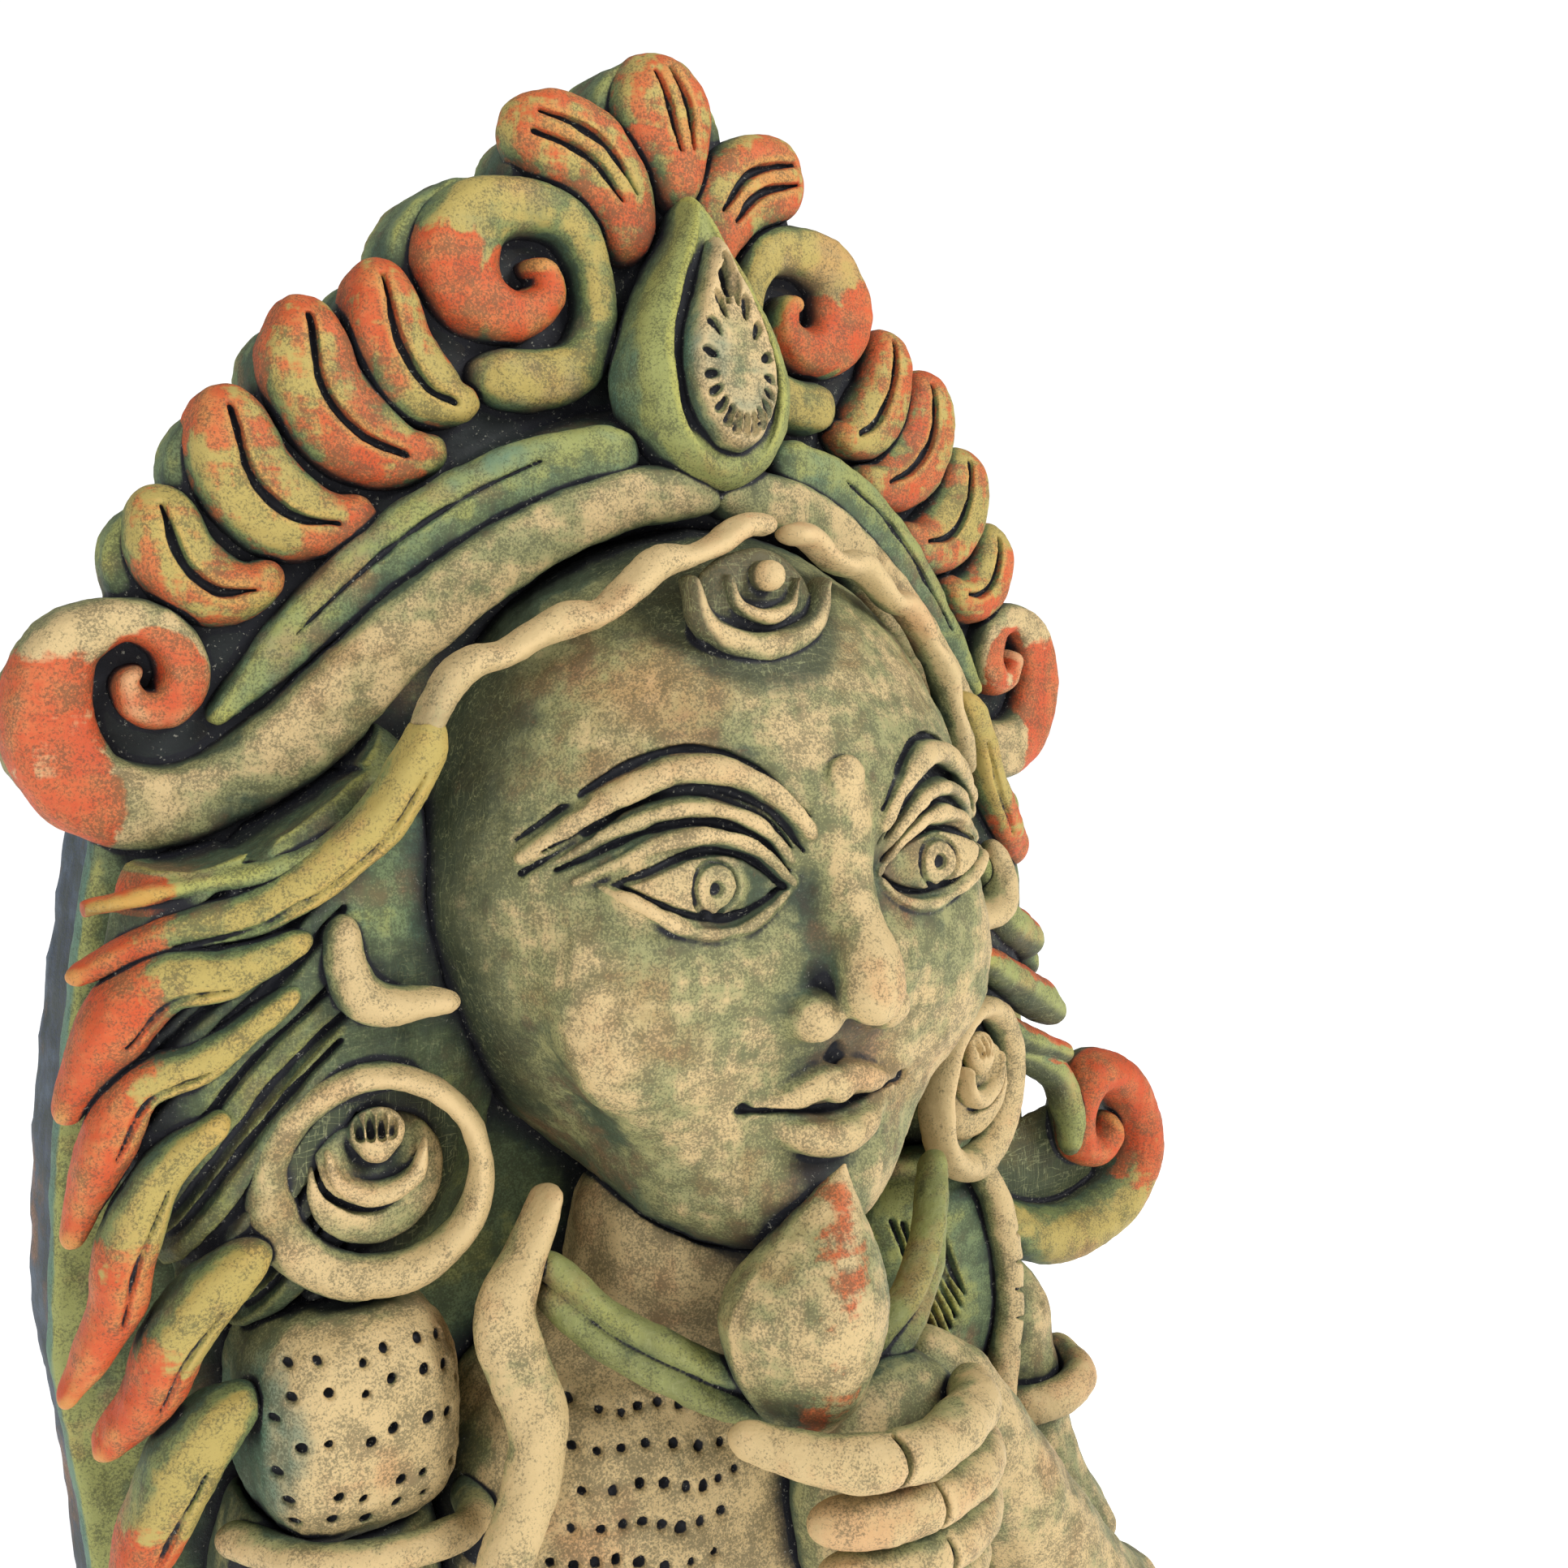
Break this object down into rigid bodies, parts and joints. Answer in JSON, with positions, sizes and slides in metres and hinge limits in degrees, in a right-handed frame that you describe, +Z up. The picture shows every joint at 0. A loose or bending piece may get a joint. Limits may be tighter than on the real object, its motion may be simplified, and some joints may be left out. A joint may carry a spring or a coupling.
{
  "type": "hindu deity statue",
  "caption": "Free-standing painted terracotta bust of a crowned goddess in high relief, holding a closed bud, on a flat base.",
  "frame": {"origin": "on the flat underside of the base slab, on the plane that the crown mirrors about, 0.05 m in front of the back edge", "axes": "+Z up, the figure faces -Y, +X to the viewer's right when facing the figure, which is the figure's own left"},
  "size_m": [0.2688, 0.1236, 0.366],
  "materials": {
    "green_wash": "matte",
    "ochre_wash": "matte",
    "orange_wash": "matte",
    "slate_wash": "matte"
  },
  "bodies": {
    "root": {"base_slab": "slate_wash", "relief_slab": "green_wash", "right_side_wall": "slate_wash", "left_side_wall": "slate_wash", "head": "ochre_wash", "torso": "ochre_wash", "right_sleeve": "ochre_wash", "right_arm": "ochre_wash", "left_sleeve": "green_wash", "left_upper_arm": "ochre_wash", "left_forearm": "ochre_wash", "right_diadem_roll": "ochre_wash", "left_diadem_roll": "ochre_wash", "right_upper_band": "green_wash", "left_upper_band": "green_wash", "right_big_scroll": "orange_wash", "left_big_scroll": "orange_wash", "right_leaf_1": "orange_wash", "left_leaf_1": "orange_wash", "right_leaf_2": "orange_wash", "left_leaf_2": "orange_wash", "right_leaf_3": "orange_wash", "left_leaf_3": "orange_wash", "right_leaf_4": "orange_wash", "left_leaf_4": "orange_wash", "right_top_leaf": "orange_wash", "left_top_leaf": "orange_wash", "peak_leaf": "orange_wash", "jewel_stone": "ochre_wash", "jewel_frame": "green_wash", "right_hair_mound": "green_wash", "left_hair_mound": "green_wash", "right_hairline": "ochre_wash", "left_hairline": "ochre_wash", "left_main_lock": "orange_wash", "right_main_lock": "orange_wash", "right_flame_lock_1": "orange_wash", "right_flame_lock_2": "orange_wash", "right_flame_lock_3": "orange_wash", "right_flame_lock_4": "orange_wash", "right_flame_lock_5": "orange_wash", "right_ear": "ochre_wash", "left_ear": "ochre_wash", "brow_ornament": "ochre_wash", "right_earring_ring": "ochre_wash", "left_earring_ring": "ochre_wash", "right_earring_pendant": "ochre_wash", "left_earring_pendant": "ochre_wash", "collar": "green_wash", "bud": "ochre_wash", "index_finger": "ochre_wash", "middle_finger": "ochre_wash", "ring_finger": "ochre_wash", "little_finger": "ochre_wash", "chest_lock": "ochre_wash", "sleeve_hem": "ochre_wash", "sleeve_border": "ochre_wash", "armlet": "ochre_wash", "side_scroll": "orange_wash"}
  },
  "joints": []
}
